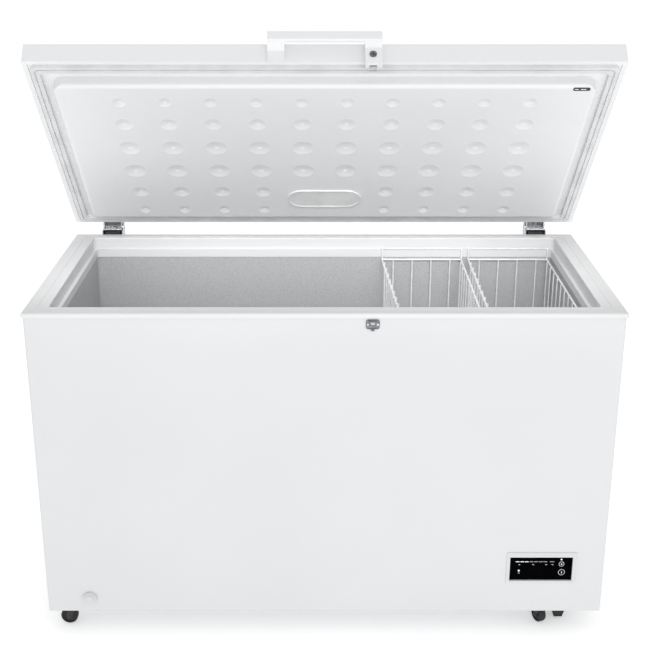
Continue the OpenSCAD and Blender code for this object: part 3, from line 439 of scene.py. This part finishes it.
def lower_face(node):
    """Middle and outward normal of a CAD node's largest flat face that looks downwards."""
    mesh = frame["nodes"][node].data
    areas = {}
    for p in mesh.polygons:
        if p.normal.z < 0:
            key = tuple(round(c, 2) for c in p.normal)
            areas[key] = areas.get(key, 0) + p.area
    normal = Vector(max(areas, key=areas.get)).normalized()
    flat = [p for p in mesh.polygons if p.normal.dot(normal) > 0.99]
    middle = sum((p.center * p.area for p in flat), Vector()) / sum(p.area for p in flat)
    return middle, normal


def prism(shape, outline, place_at, thickness):
    """A thin plate over an outline of (x, y) points, standing on the plane z = 0 of place_at."""
    low = [shape.verts.new(place_at @ Vector((x, y, 0))) for x, y in outline]
    high = [shape.verts.new(place_at @ Vector((x, y, thickness))) for x, y in outline]
    shape.faces.new(low[::-1])
    shape.faces.new(high)
    for i in range(len(outline)):
        j = (i + 1) % len(outline)
        shape.faces.new((low[i], low[j], high[j], high[i]))


def bar(cx, cy, width, height):
    """Outline of a small bar with rounded ends."""
    r = min(width, height) * 0.45
    points = []
    for sx, sy, start in ((1, 1, 0), (-1, 1, 90), (-1, -1, 180), (1, -1, 270)):
        for step in range(4):
            a = math.radians(start + step * 30)
            points.append((cx + sx * (width / 2 - r) + r * math.cos(a),
                           cy + sy * (height / 2 - r) + r * math.sin(a)))
    return points


def ring(shape, place_at, cx, cy, outer, inner, thickness):
    """A flat ring standing on the plane z = 0 of place_at."""
    rows = []
    for i in range(RING_STEPS):
        a = math.tau * i / RING_STEPS
        c, s = math.cos(a), math.sin(a)
        rows.append([shape.verts.new(place_at @ Vector((cx + r * c, cy + r * s, z)))
                     for r, z in ((inner, 0), (outer, 0), (outer, thickness), (inner, thickness))])
    for one, two in zip(rows, rows[1:] + rows[:1]):
        for k in range(4):
            shape.faces.new((one[k], one[(k + 1) % 4], two[(k + 1) % 4], two[k]))


def ink():
    """Screen-printed ink: slightly uneven, matt, with a faint painted glow though it is no lamp."""
    # Painted light: the ink glows faintly white (emission 0.12) though it is no lamp.
    m = fresh("printed_ink_painted_glow", Specular_IOR_Level=0.3, Emission_Strength=0.12)
    tint(m, noise(m, 400.0, 2.0), shade(INK_WHITE, 0.8), INK_WHITE)
    gloss(m, noise(m, 300.0, 2.0), 0.5, 0.65)
    relief(m, (noise(m, 1200.0, 1.0), 0.1, 0.0001))
    return m


def front_frame(y):
    """A frame on the plane at this y that looks along -Y: X runs right and Y runs up."""
    return Matrix(((1, 0, 0, 0), (0, 0, -1, y), (0, 1, 0, 0), (0, 0, 0, 1)))


def middle_and_radius(node):
    """Middle (x, z) and radius of a round key."""
    low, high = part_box(node)
    return (low.x + high.x) / 2, (low.z + high.z) / 2, (high.x - low.x) / 2


def panel_print(material):
    """A ring round each key and small bars under the lights: no lettering."""
    at = front_frame(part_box("control_glass")[0].y)
    lights_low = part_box("indicator_lights")[0]
    shape = bmesh.new()
    for node in ("button_mode", "button_set"):
        x, z, r = middle_and_radius(node)
        ring(shape, at, x, z, r + KEY_RING[1], r + KEY_RING[0], INK_THICK)
    for place_in_row in PRINT_PLACES:
        x = lights_low.x + LIGHT_HALF + place_in_row * LIGHT_STEP
        prism(shape, bar(x, lights_low.z + PRINT_UP, PRINT_WIDE, PRINT_TALL), at, INK_THICK)
    dot_mark = bar(lights_low.x + LIGHT_HALF * 2, lights_low.z - PRINT_DOWN, PRINT_WIDE, PRINT_TALL)
    prism(shape, dot_mark, at, INK_THICK)
    return mesh_piece("panel_print", shape, material, "cabinet")


def key_print(node, body, wide, tall, material):
    """A plain mark in the middle of a key: a dot or an upright stroke."""
    x, z, r = middle_and_radius(node)
    shape = bmesh.new()
    prism(shape, bar(x, z, r * wide, r * tall), front_frame(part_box(node)[0].y), INK_THICK)
    return mesh_piece(node + "_print", shape, material, body)


def label_print(material):
    """Plain light bars on the lid's small dark label."""
    middle, normal = lower_face("label_plate")
    low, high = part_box("label_plate")
    width = high.x - low.x
    x = Vector((1, 0, 0))
    at = Matrix((x, normal.cross(x).normalized(), normal)).transposed().to_4x4()
    at.translation = middle
    shape = bmesh.new()
    for place_on_label, share in LABEL_BARS:
        prism(shape, bar(place_on_label * width, 0, share * width, LABEL_BAR_TALL), at, LABEL_INK_THICK)
    return mesh_piece("label_print", shape, material, "lid")


# ---- stage

def floor():
    """A pale studio floor with a touch of its own light, so that it stays even into the distance."""
    m = fresh("studio_floor", Roughness=0.9, Specular_IOR_Level=0.0, Emission_Color=(1, 1, 1, 1),
              Emission_Strength=FLOOR_GLOW)
    tint(m, noise(m, 0.6, 2.0), (0.88, 0.88, 0.88), (0.90, 0.90, 0.90))
    shape = bmesh.new()
    bmesh.ops.create_grid(shape, x_segments=8, y_segments=8, size=FLOOR_HALF)
    mesh = bpy.data.meshes.new("floor")
    shape.to_mesh(mesh)
    shape.free()
    made = bpy.data.objects.new("floor", mesh)
    mesh.materials.append(m)
    bpy.context.scene.collection.objects.link(made)


def softbox(name, position, target, width, height, power, cone):
    """A rectangular area light aimed at a point, its beam as wide as the cone, never in view itself."""
    light = bpy.data.lights.new(name, "AREA")
    light.shape = "RECTANGLE"
    light.size, light.size_y, light.energy = width, height, power
    light.spread = math.radians(cone)
    made = bpy.data.objects.new(name, light)
    made.location = position
    made.rotation_euler = (Vector(target) - Vector(position)).to_track_quat("-Z", "Y").to_euler()
    made.visible_camera = False
    bpy.context.scene.collection.objects.link(made)


def studio():
    """An even white surround and the two boxes."""
    world = bpy.data.worlds.new("studio")
    world.use_nodes = True
    back = world.node_tree.nodes["Background"]
    back.inputs["Color"].default_value = (1, 1, 1, 1)
    back.inputs["Strength"].default_value = WORLD_STRENGTH
    bpy.context.scene.world = world
    softbox("front_box", **FRONT_BOX)
    softbox("cavity_box", **CAVITY_BOX)
    bpy.context.scene.view_settings.view_transform = "Standard"
    bpy.context.scene.view_settings.look = "None"


def camera():
    """Stands in front of the middle of the rim and looks down at it."""
    low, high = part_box("top_frame")
    data = bpy.data.cameras.new("camera")
    data.lens = CAMERA_LENS
    data.sensor_width = 36.0
    data.shift_x, data.shift_y = CAMERA_SHIFT
    made = bpy.data.objects.new("camera", data)
    made.location = ((low.x + high.x) / 2 + CAMERA_SIDE, low.y - CAMERA_BACK, high.z + CAMERA_UP)
    made.rotation_euler = (math.pi / 2 - CAMERA_PITCH, 0, 0)
    bpy.context.scene.collection.objects.link(made)
    bpy.context.scene.camera = made


camera()
dress_all()
INK = ink()
panel_print(INK)
key_print("button_mode", "mode_key", *KEY_DOT, INK)
key_print("button_set", "set_key", *KEY_STROKE, INK)
label_print(INK)
floor()
studio()
